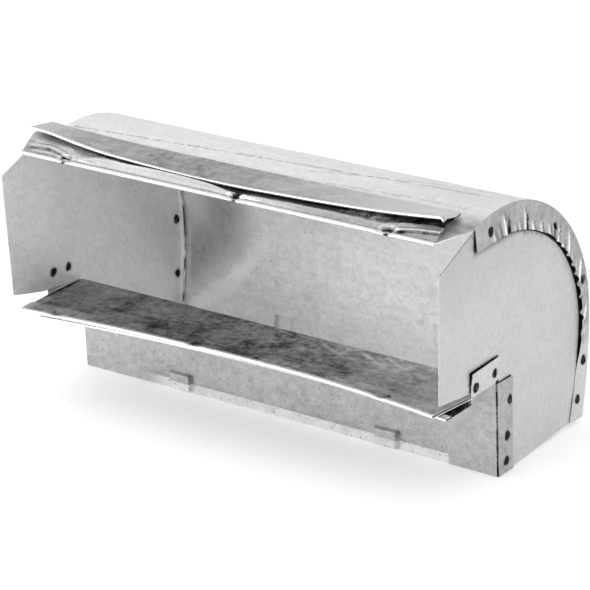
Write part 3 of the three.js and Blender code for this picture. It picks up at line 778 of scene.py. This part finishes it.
# ---- lip strips ----
STRIP_HALF = 123.26
STRIP_SKEW = 0.24
HEM_Y, HEM_Z, HEM_R = -41.9, 130.66, 0.8
REAR_FOLD_Y, GAP_Y, LOOSE_Y = -9.0, -26.5, -30.2  # along the gap between the layers
CREST = ((-128, -30, 135.6), (-113.5, -31.5, 134.6), (-104, -32, 134.0), (-96.5, -33, 133.3),
         (-91, -37, 132.7), (-86, -38.8, 132.9), (-76.7, -36.6, 133.8), (-57, -36.3, 134.1),
         (-42, -35.5, 134.0), (-22, -35.6, 133.7), (-4, -36.9, 133.1), (5, -38.6, 132.3),
         (10, -39.4, 132.0), (16, -39, 132.6), (29, -38.2, 132.7), (42.6, -37.4, 132.6),
         (53, -37.0, 132.4), (67, -37, 132.3), (80, -37.8, 132.3), (89, -38.6, 132.3),
         (97, -36.6, 132.5), (103, -34.2, 133.3), (111, -32, 133.6), (124, -30.5, 133.7))
# painted shade along the strip: on the top layer, on the middle layer and in the gap between them
LOOSE_SHADE = ((-131, 0.16), (-112, 0.3), (-92, 0.44), (-60, 0.5), (0, 0.48), (40, 0.36), (80, 0.2),
              (123, 0.08))
RAMP_SHADE = ((-131, 0.5), (-112, 0.45), (-95, 0.38), (-80, 0.26), (40, 0.28), (75, 0.4), (95, 0.5),
             (123, 0.4))
GAP_DARK = ((-131, 0.3), (-108, 0.36), (-92, 0.6), (-72, 1.02), (123, 1.02))
LOOSE_EDGE = ((-131, 140.4), (-114, 139.5), (-98, 137.2), (-82, 135.3), (-63, 134.1), (-44, 133.3),
              (-25, 132.8), (-7, 132.7), (10, 133.0), (28, 133.6), (45, 134.2), (61, 134.9),
              (80, 135.9), (98, 137.3), (121, 139.7))


RAMP_CREASES = (  # line (x, y), height and width of the creases on the middle layer
    ([(-122, -36), (-110, -35), (-100, -36.5), (-94, -38.5)], 0.5, 2.2),
    ([(-118, -39), (-106, -38.6), (-99, -39.6)], 0.3, 1.6),
    ([(100, -38.8), (110, -35.6), (122, -34)], 0.55, 2.2),
    ([(84, -30), (97, -31), (108, -29)], 0.6, 2.4),
)


def upper_lip_strip():
    xs = spans(-STRIP_HALF, 12, -101.5, 16, -91, 44, 4.5, 14, 14.5, 38, 91, 16, 102, 12, 121.4, 6,
               STRIP_HALF)
    crest_y = through([(a, b) for a, b, _ in CREST], xs)
    crest_z = through([(a, c) for a, _, c in CREST], xs)
    loose_z = through(LOOSE_EDGE, xs - STRIP_SKEW * (ROOF_REACH + LOOSE_Y))
    left = clamp01((-50 - xs) / 78) ** 2
    right = clamp01((xs + 10) / 130) ** 2.2
    fold_z = 132.25 + 2.5 * left + 0.4 * right
    dent = 0.75 * sum(bell((xs - clinch) / 7.5) for clinch in CLINCH_TOP)
    flutter = waves(51, 7, 9, 40)
    rows, grime_and_shade = [], []

    def row(y, z, dirt_and_shade=0.0):
        x = xs - STRIP_SKEW * (y + ROOF_REACH)
        rows.append(stack(np.broadcast_arrays(x, y, z), 1))
        grime_and_shade.append(dirt_and_shade + 0 * xs)

    for y in linspace(-34.5, -41.2, 6):
        row(y, roof_lip_z(y) - SHEET - GAP - SHEET / 2)
    for y, up in around(HEM_Y, 0, HEM_R, turns(270, 80, 14)):
        row(y, HEM_Z + up - dent * ease(up / HEM_R + 0.6))
    # the middle layer: a groove behind the bead, up to the crest, and down behind it
    base = 131.28 - dent
    row(-41.3, base + 0.12)
    # painted shade in the groove behind the bead
    row(-40.8, base - 0.02, 0.85)
    row(-40.3, base, 0.35)
    for t in linspace(0.04, 1, 16):
        bow = 0.25 * sin(math.pi * t) * (1 - dent / 0.75)
        y = mix(-39.8, crest_y, t)
        # painted shade on the middle layer, with a painted highlight just before the crest
        row(y, mix(base, crest_z, t ** 1.08) + bow + 0.05 * flutter(xs, y),
            through(RAMP_SHADE, xs) - 0.25 * bell((t - 0.85) / 0.2))
    n_ramp = len(rows)
    # painted shade in the gap between the middle and top layers
    behind = through(GAP_DARK, xs)
    back_z = np.minimum(loose_z - 2.15, 133.2 + 3.2 * left + 1.0 * right)
    for t in linspace(0.08, 1, 12):
        row(mix(crest_y, GAP_Y, t), mix(crest_z, back_z, 1 - (1 - t) ** 2.4), behind * ease(t / 0.3))
    for t in linspace(0.12, 1, 8):
        row(mix(GAP_Y, REAR_FOLD_Y, t), mix(back_z, fold_z, ease(t)), behind)
    for y, z in around(REAR_FOLD_Y, fold_z + 0.5, 0.5, np.radians([-55, -20, 20, 55])):
        row(y, z)
    # the loose layer forward to its rolled edge
    n_loose = len(rows)
    # painted shade on the top layer
    top_layer_shade = through(LOOSE_SHADE, xs)
    for t in linspace(0, 0.93, 18):
        y = mix(REAR_FOLD_Y, -30.0, t)
        crown = 0.35 * sin(math.pi * t)
        z = mix(fold_z + 1.0, loose_z - 0.28, t ** 1.15)
        row(y, z + crown + 0.06 * flutter(xs * 0.7, y * 2), top_layer_shade)
    # painted shade in the groove behind the rolled edge
    row(-28.9, loose_z - 0.34, 0.85)
    row(-29.3, loose_z - 0.2, 0.35)
    for y, z in around(LOOSE_Y, loose_z - 0.6, 0.6, turns(100, 280, 10)):
        row(y, z)
    for y in (-28.5, -27, -25.8):
        row(y, loose_z - 1.25)
    dirt_and_shade = stack(grime_and_shade, 1)
    x, y, z = np.moveaxis(stack(rows, 1), -1, 0)
    number = arange(len(rows))
    upper = number < n_ramp + 11
    on_ramp = (number < n_ramp + 3) * (y > -40.8)
    # at the clinches: painted shade in the dents and on the hem below them, a painted highlight round
    # their rims
    for clinch in CLINCH_TOP:
        near = hypot((x - clinch) / 1.7, y + 39.3)
        z = z - 1.1 * bell(near / 2.1) * upper + 0.4 * bell((near - 2.7) / 0.9) * upper * (y > -40.9)
        dirt_and_shade = dirt_and_shade + 1.4 * bell(near / 2.3) * upper - 0.5 * bell((near - 2.7) / 0.7) * upper
        dirt_and_shade = dirt_and_shade + 1.1 * bell((x - clinch - 0.8) / 2.2) * upper * (y < -40)
    curled = clamp01((xs[:, None] - 121.6) / 1.7) ** 2 * ease((-y - 9) / 6)
    z = z - 1.5 * (number >= n_loose - 1) * curled
    # along the creases: a painted highlight on the line and painted shade just behind it
    for line, height, width in RAMP_CREASES:
        z = z + height * crease(x, y, line, width) * on_ramp
        dirt_and_shade = dirt_and_shade - 0.5 * crease(x, y, line, width * 0.5) * on_ramp
        dirt_and_shade = dirt_and_shade + 0.4 * crease(x, y + 1.6, line, width * 0.6) * on_ramp
    return new_piece(
        "upper_lip_sheet", [grid_shell(stack([x, y, z], -1))],
        ["upper_lip_strip"], [dirt_and_shade.ravel()],
    )


# painted shade on the top of the lower strip, darkest near its middle
LOW_SHADE = ((-127, 0.48), (-105, 0.62), (-60, 0.74), (10, 0.8), (60, 0.72), (90, 0.6), (127, 0.5))
LOW_FOLD_Y, LOW_FOLD_R = -21.0, 0.9
LOW_LOOSE_Z = 45.4


def lower_lip_strip():
    right_end = HALF + 1.8
    xs = spans(-HALF + 0.5, 10, -109, 14, -99, 34, -20, 14, -10, 42, 93, 14, 103, 12, right_end)
    over, under = GAP + SHEET / 2, SHEET + GAP + SHEET / 2
    middle_z = SHELF_Z - under
    right = clamp01((xs + HALF) / (2 * HALF))
    dent = sum(bell((xs - clinch) / 6) for clinch in CLINCH_LOW)
    rows, grime_and_shade, layer = [], [], []

    def row(y, z, free=0.0, dirt_and_shade=0.0, kind=0):
        forward = clamp01((-y - 21) / 25) * right * free
        rows.append(stack([xs, y + 2.6 * forward, z + shelf_bow(xs, y)], 1))
        grime_and_shade.append(dirt_and_shade + 0 * xs)
        layer.append(kind)

    top_z = SHELF_Z + over - 0.7 * dent
    for y in linspace(-40, -46.6, 9):
        near_hem = ease((-y - 43) / 4)
        row(y, SHELF_Z + over - 0.1 * bell((y + 46.8) / 0.8) - 0.7 * dent * near_hem,
            dirt_and_shade=through(LOW_SHADE, xs))
    # painted shade in the groove behind the hem
    row(-47.2, top_z - 0.2, dirt_and_shade=0.7)
    row(-47.8, top_z - 0.14, dirt_and_shade=0.3)
    for y, up in around(-SHELF_REACH - 0.3, 0, (over + under) / 2, turns(98, 270, 14)):
        row(y, SHELF_Z + (over - under) / 2 + up - 0.6 * dent * (up > 0))
    n_upper = len(rows)
    for y in linspace(-46, LOW_FOLD_Y, 12):
        row(y, middle_z, kind=1)
    rear = np.radians([50, 20, -20, -50, -80])
    for y, z in around(LOW_FOLD_Y, middle_z - LOW_FOLD_R, LOW_FOLD_R, rear):
        row(y, z, kind=1)
    # the layer that runs down under the shelf: painted near-black shade
    for t in linspace(0.08, 1, 14):
        z = mix(middle_z - 2 * LOW_FOLD_R, LOW_LOOSE_Z, t)
        row(mix(LOW_FOLD_Y, -45.6, t), z, 1.0, 1.02, kind=2)
    for y, z in around(-46.5, LOW_LOOSE_Z + 0.42, 0.42, turns(270, 95, 9)):
        row(y, z, 1.0, kind=2)
    for y in (-44.5, -42.5):
        row(y, LOW_LOOSE_Z + 0.95, 1.0, kind=2)
    dirt_and_shade = stack(grime_and_shade, 1)
    x, y, z = np.moveaxis(stack(rows, 1), -1, 0)
    kinds = np.array(layer)
    # the end cuts: each layer is sheared a little differently
    narrowed = mix(LAP, HALF - 2, clamp01((-y - 22) / 29))
    limit = np.where(kinds < 2, narrowed, right_end)
    shorter = np.where(kinds == 2, HALF - mix(9, 12, clamp01((-y - 19) / 30)), limit)
    x = np.where(x > 0, x * limit / right_end, x * shorter / (HALF - 0.5))
    top = arange(len(rows)) < n_upper - 6
    # at the clinches: painted shade in the dents
    for clinch in CLINCH_LOW:
        near = hypot((x - clinch) / 1.4, y + 46.0)
        z = z - 0.9 * bell(near / 1.7) * top
        dirt_and_shade = dirt_and_shade + 1.2 * bell(near / 1.9) * top
    return new_piece(
        "lower_lip_sheet", [grid_shell(stack([x, y, z], -1))],
        ["lower_lip_strip"], [dirt_and_shade.ravel()],
    )


# ---- spot welds ----
WELD_SIDES = 28
WELD_PROFILE = ((0.0, 0.06), (0.8, 0.05), (1.4, 0.16), (1.8, 0.27), (2.1, 0.2), (2.3, 0.02))
WELD_PROUD = 0.24  # on the plate's inside


def weld_nugget(node, side, y0, z0, seed):
    """One spot weld: a dished, slightly ragged button on each side of the two sheets."""
    rng = np.random.default_rng(seed)
    phase = rng.uniform(0, tau, 3)
    angle = arange(WELD_SIDES) * tau / WELD_SIDES
    ragged = 1 + 0.1 * np.sin(2 * angle + phase[0]) + 0.09 * np.sin(3 * angle + phase[1])
    ragged = ragged * rng.uniform(0.74, 0.98)
    tall = rng.uniform(1.1, 1.35)
    rings = [(r, SKIN + h) for r, h in WELD_PROFILE]
    rings += [(r, HALF - SHEET - WELD_PROUD - h) for r, h in WELD_PROFILE[::-1]]
    points, faces = [], []
    for r, x in rings:
        for k in range(WELD_SIDES if r else 1):
            size = r * ragged[k] * (1 + 0.03 * rng.standard_normal())
            across, up = size * cos(angle[k]), tall * size * sin(angle[k])
            points.append((side * x, y0 + across, z0 + up))
    last = len(points) - 1
    starts = range(1, last, WELD_SIDES)
    for k in range(WELD_SIDES):
        n = (k + 1) % WELD_SIDES
        faces.append([0, 1 + k, 1 + n])
        faces += [[a + k, a + WELD_SIDES + k, a + WELD_SIDES + n, a + n] for a in starts[:-1]]
        faces.append([starts[-1] + n, starts[-1] + k, last])
    if side < 0:
        faces = [f[::-1] for f in faces]
    count = len(points)
    body = (np.array(points), faces, arange(count), np.zeros(count, int))
    flaked = np.full(count, rng.uniform(0.25, 1.0))
    return new_piece(node + "_nugget", [body], [node], [flaked], sharp=60)


# ---- materials ----
METALLIC = 0.7
SPANGLE = 0.1  # contrast of the zinc's crystals
RELIEF = 0.0004  # depth of the finest relief, metres


class Tree:
    """A material's node tree, with short ways to add and join nodes."""

    def __init__(self, name):
        self.material = bpy.data.materials.new(name)
        self.material.use_nodes = True
        self.nodes = self.material.node_tree.nodes
        self.links = self.material.node_tree.links
        self.shader = self.nodes["Principled BSDF"]
        self.place = self.add("TexCoord").outputs["Object"]

    def add(self, kind, values=(), **settings):
        node = self.nodes.new("ShaderNode" + kind)
        for key, value in settings.items():
            setattr(node, key, value)
        for key, value in dict(values).items():
            self.feed(node.inputs[key], value)
        return node

    def feed(self, socket, value):
        if isinstance(value, bpy.types.NodeSocket):
            self.links.new(value, socket)
        else:
            socket.default_value = value

    def math(self, operation, *values, clamp=False):
        pairs = dict(enumerate(values))
        return self.add("Math", pairs, operation=operation, use_clamp=clamp).outputs[0]

    def vector(self, operation, *values, scale=None):
        node = self.add("VectorMath", dict(enumerate(values)), operation=operation)
        if scale is not None:
            self.feed(node.inputs["Scale"], scale)
        return node.outputs["Value" if operation in ("DISTANCE", "DOT_PRODUCT") else "Vector"]

    def fit(self, value, low, high, to_low=0.0, to_high=1.0):
        pairs = {"Value": value, "From Min": low, "From Max": high, "To Min": to_low, "To Max": to_high}
        return self.add("MapRange", pairs, interpolation_type="SMOOTHSTEP").outputs[0]

    def noise(self, scale, detail=2.0, stretch=None, rough=0.5, place=None):
        place = place or self.place
        if stretch:
            place = self.add("Mapping", {"Vector": place, "Scale": stretch}).outputs[0]
        pairs = {"Vector": place, "Scale": scale, "Detail": detail, "Roughness": rough}
        return self.add("TexNoise", pairs).outputs["Fac"]

    def attribute(self, name):
        return self.add("Attribute", attribute_name=name).outputs["Fac"]

    def total(self, *parts):
        """1 + the sum of amount * (value - 0.5), over (value, amount) parts."""
        result = 1.0
        for value, amount in parts:
            swing = self.math("MULTIPLY_ADD", value, amount, -amount / 2)
            result = self.math("ADD", swing, result)
        return result

    def give(self, name, value):
        """A value or a socket for one of the shader's own inputs."""
        self.feed(self.shader.inputs[name], value)

    def paint(self, colour, value):
        self.give("Base Color", self.vector("SCALE", colour, scale=value))

    def relief(self, strength, height):
        pairs = {"Strength": strength, "Distance": RELIEF, "Height": height}
        self.give("Normal", self.add("Bump", pairs).outputs[0])

    def warped(self, scale, reach):
        """Places shifted by noise, up to about half of reach each way."""
        drift = self.add("TexNoise", {"Vector": self.place, "Scale": scale})
        shift = self.vector("SCALE", drift.outputs["Color"], scale=reach)
        return self.vector("SUBTRACT", self.vector("ADD", self.place, shift), (reach / 2,) * 3)

    def near(self, centre, inner, outer, place):
        """1 within inner of a point (metres, row frame) and 0 beyond outer."""
        return self.fit(self.vector("DISTANCE", place, tuple(centre)), inner, outer, 1.0, 0.0)

    def beside(self, start, end, width, place):
        """1 on the line between two points and 0 beyond width from it."""
        run = Vector(end) - Vector(start)
        off = self.vector("SUBTRACT", place, tuple(start))
        along = self.vector("DOT_PRODUCT", off, tuple(run / run.length_squared))
        foot = self.vector("SCALE", tuple(run), scale=self.math("ADD", along, 0.0, clamp=True))
        return self.fit(self.vector("DISTANCE", off, foot), width * 0.2, width, 1.0, 0.0)


def zinc(name, colour, rough, cloud=0.16, blotch=0.14, grain=0.2, specks=0.35, streaks=0.0,
         bump=0.12, edge=0.15, metal=METALLIC, patchy=0.0, scorched=(), lines=()):
    """Galvanised sheet: cloudy, finely speckled zinc with faint spangle and dark pinholes."""
    t = Tree(name)
    clouds = t.noise(55, 3.0, rough=0.6)
    blotches = t.noise(240, 3.0, rough=0.65)
    fine = t.noise(1500, 2.0, rough=0.7)
    cell = t.add("TexVoronoi", {"Vector": t.place, "Scale": 480.0})
    crystal = t.add("SeparateColor", {"Color": cell.outputs["Color"]}).outputs[0]
    value = t.total((clouds, cloud), (blotches, blotch), (fine, grain), (crystal, SPANGLE))
    if streaks:
        drawn = t.noise(30, 3.0, stretch=(0.35, 9.0, 9.0), rough=0.6)
        value = t.math("MULTIPLY_ADD", drawn, streaks, t.math("SUBTRACT", value, streaks / 2))
    dots = t.fit(t.noise(1100, 1.0), 0.66, 0.74)
    value = t.math("SUBTRACT", value, t.math("MULTIPLY", dots, specks))
    warped = t.warped(420.0, 0.0022)

    def darkened(value, mark, amount):
        return t.math("MULTIPLY", value, t.math("MULTIPLY_ADD", mark, -amount, 1.0))

    for centre, inner, outer, amount in scorched:
        value = darkened(value, t.near(centre, inner, outer, warped), amount)
    for start, end, width, amount in lines:
        line = t.math("MULTIPLY", t.beside(start, end, width, warped), t.fit(blotches, 0.38, 0.6))
        value = darkened(value, line, amount)
    # the grime values darken or lighten the zinc: real grime, and painted shade and painted highlights
    grime_and_shade = t.attribute("grime_and_shade")
    if patchy:
        uneven = t.total((clouds, patchy), (blotches, patchy), (fine, patchy))
        grime_and_shade = t.math("MULTIPLY", grime_and_shade, uneven)
    value = darkened(value, grime_and_shade, 0.95)
    t.paint(tuple(colour), t.math("MULTIPLY_ADD", t.attribute("rim"), edge, value))
    t.give("Metallic", metal)
    roughness = t.math("MULTIPLY", t.total((blotches, 0.35), (crystal, 0.25), (fine, 0.3)), rough)
    t.give("Roughness", t.math("MULTIPLY_ADD", grime_and_shade, 0.2, roughness))
    height = t.math("MULTIPLY_ADD", blotches, 0.5, t.math("MULTIPLY_ADD", crystal, 0.12, fine))
    t.relief(bump, height)
    return t.material


def weld_metal():
    """Burnt metal: black scale, flaked off in places, more on some welds (grime) than on others."""
    t = Tree("scorched_weld")
    ash = t.noise(900, 3.0, rough=0.7)
    flakes = t.noise(420, 3.0, rough=0.75)
    bare = t.math("MULTIPLY", t.fit(flakes, 0.56, 0.66), t.attribute("grime_and_shade"))
    scale = t.fit(ash, 0.4, 0.78, 0.003, 0.035)
    t.paint((1.0, 0.97, 0.92), t.math("MULTIPLY_ADD", bare, 0.22, scale))
    t.give("Metallic", 0.3)
    t.give("Specular IOR Level", 0.06)
    t.give("Roughness", t.fit(ash, 0.3, 0.7, 0.35, 0.7))
    t.relief(0.5, ash)
    return t.material


# ---- camera, light and floor ----
AZIMUTH, ELEVATION, ROLL = 37.779, 21.918, -2.449
CAMERA_DISTANCE = 1437.85
CAMERA_TARGET = (-11.927, 30.0, 53.149)
LENS, SENSOR = 175.48, 36.0
LIT_CENTRE = (0, 0, 0.07)
SOFTBOXES = (  # azimuth, elevation, distance, width and height in metres, radiance
    ("front_left", -38, 13, 1.6, 1.6, 1.0, 3.6),
    ("front_right", 32, 22, 1.7, 1.1, 0.8, 2.2),
    ("high_left", -66, 50, 1.6, 0.7, 0.8, 0.5),
    ("side_right", 98, 14, 1.6, 0.7, 0.5, 2.4),
    ("floor_wash", 0, 88, 2.2, 3.0, 3.0, 0.45),
)
UNSEEN_WORLD, SEEN_WORLD = 0.74, 1.0  # how bright the world is for its light and for the camera
FLOOR_HALF, FLOOR_Z, FLOOR_GLOW = 4, -0.0003, 0.16


def direction(azimuth, elevation):
    a, e = math.radians(azimuth), math.radians(elevation)
    return Vector((sin(a) * cos(e), -cos(a) * cos(e), sin(e)))


def make_camera():
    back = direction(AZIMUTH, ELEVATION)
    right = (-back).cross(Vector((0, 0, 1))).normalized()
    up = right.cross(-back).normalized()
    r = math.radians(ROLL)
    right, up = cos(r) * right + sin(r) * up, -sin(r) * right + cos(r) * up
    camera = bpy.data.cameras.new("camera")
    camera.lens, camera.sensor_width = LENS, SENSOR
    camera.clip_start, camera.clip_end = 0.05, 20.0
    holder = placed("camera", camera)
    place = Vector(to_row(CAMERA_TARGET)) + back * CAMERA_DISTANCE * MM
    turn = Matrix((right, up, back)).transposed().to_4x4()
    holder.matrix_world = Matrix.Translation(place) @ turn
    bpy.context.scene.camera = holder

def softbox(name, azimuth, elevation, distance, width, height, radiance):
    lamp = bpy.data.lights.new(name, "AREA")
    lamp.shape, lamp.size, lamp.size_y = "RECTANGLE", width, height
    lamp.energy = radiance * math.pi * width * height
    holder = placed(name, lamp)
    away = direction(azimuth, elevation)
    turn = away.to_track_quat("Z", "Y").to_matrix().to_4x4()
    holder.matrix_world = Matrix.Translation(Vector(LIT_CENTRE) + away * distance) @ turn
    holder.visible_camera = False
    holder.visible_glossy = name != "floor_wash"


def make_world():
    world = bpy.data.worlds.new("studio")
    bpy.context.scene.world = world
    world.use_nodes = True
    tree = world.node_tree
    background = tree.nodes["Background"]
    background.inputs["Color"].default_value = (1.0, 1.0, 1.0, 1)
    seen = tree.nodes.new("ShaderNodeLightPath").outputs["Is Camera Ray"]
    strength = tree.nodes.new("ShaderNodeMapRange")
    strength.inputs["To Min"].default_value = UNSEEN_WORLD
    strength.inputs["To Max"].default_value = SEEN_WORLD
    tree.links.new(seen, strength.inputs["Value"])
    tree.links.new(strength.outputs[0], background.inputs["Strength"])


def make_floor():
    mesh = bpy.data.meshes.new("floor")
    corners = [(FLOOR_HALF * a, FLOOR_HALF * b, 0) for a, b in ((-1, -1), (1, -1), (1, 1), (-1, 1))]
    mesh.from_pydata(corners, [], [(0, 1, 2, 3)])
    floor = placed("floor", mesh)
    floor.location.z = FLOOR_Z
    t = Tree("pale_floor")
    t.give("Base Color", (0.94, 0.94, 0.94, 1))
    t.give("Roughness", 0.8)
    t.give("Emission Color", (1.0, 1.0, 1.0, 1))
    t.give("Emission Strength", FLOOR_GLOW)
    mesh.materials.append(t.material)


# ---- assembly ----
SCORCH = (1.9 * MM, 3.6 * MM, 0.45)  # inner and outer radius, and strength
# thin darker lines across the roof
ROOF_LINES = (  # from, to, width, strength
    ((-122, -2, 132.9), (108, 17, 132.9), 1.3, 0.5),
    ((20, 4, 133.4), (118, 30, 130.0), 1.6, 0.35),
    ((-60, -8, 132.4), (112, -1, 132.8), 1.6, 0.3),
)

make_camera()
make_world()
for box in SOFTBOXES:
    softbox(*box)
make_floor()
bpy.context.scene.view_settings.view_transform = "Standard"

both_ends = [
    (to_row((side * HALF, y, z)), *SCORCH)
    for end, side in SIDES.items() for _, y, z in weld_places(end)
]
roof_lines = [(to_row(a), to_row(b), width * MM, amount) for a, b, width, amount in ROOF_LINES]
ROOF = zinc("zinc_roof", (0.85, 0.85, 0.843), rough=0.42, streaks=0.2, metal=0.58, patchy=0.7,
            scorched=both_ends, lines=roof_lines)
PANEL = zinc("zinc_panel", (0.6, 0.6, 0.594), rough=0.34, cloud=0.2, grain=0.28,
             specks=0.8, patchy=1.5, scorched=both_ends)
LIP = zinc("zinc_lip", (0.72, 0.72, 0.713), rough=0.26, cloud=0.16, blotch=0.08, grain=0.12,
           bump=0.03, patchy=1.6)
PLATE = zinc("zinc_plate", (0.84, 0.84, 0.833), rough=0.4, edge=-0.08, metal=0.6,
             scorched=both_ends)
WELD = weld_metal()

for make, material in (
    (wrapper, ROOF), (front_panel, PANEL), (upper_lip_strip, LIP), (lower_lip_strip, LIP)
):
    make().data.materials.append(material)
for number, end in enumerate(SIDES):
    end_plate(end).data.materials.append(PLATE)
    for k, (node, y, z) in enumerate(weld_places(end)):
        weld_nugget(node, SIDES[end], y, z, 100 * number + k).data.materials.append(WELD)
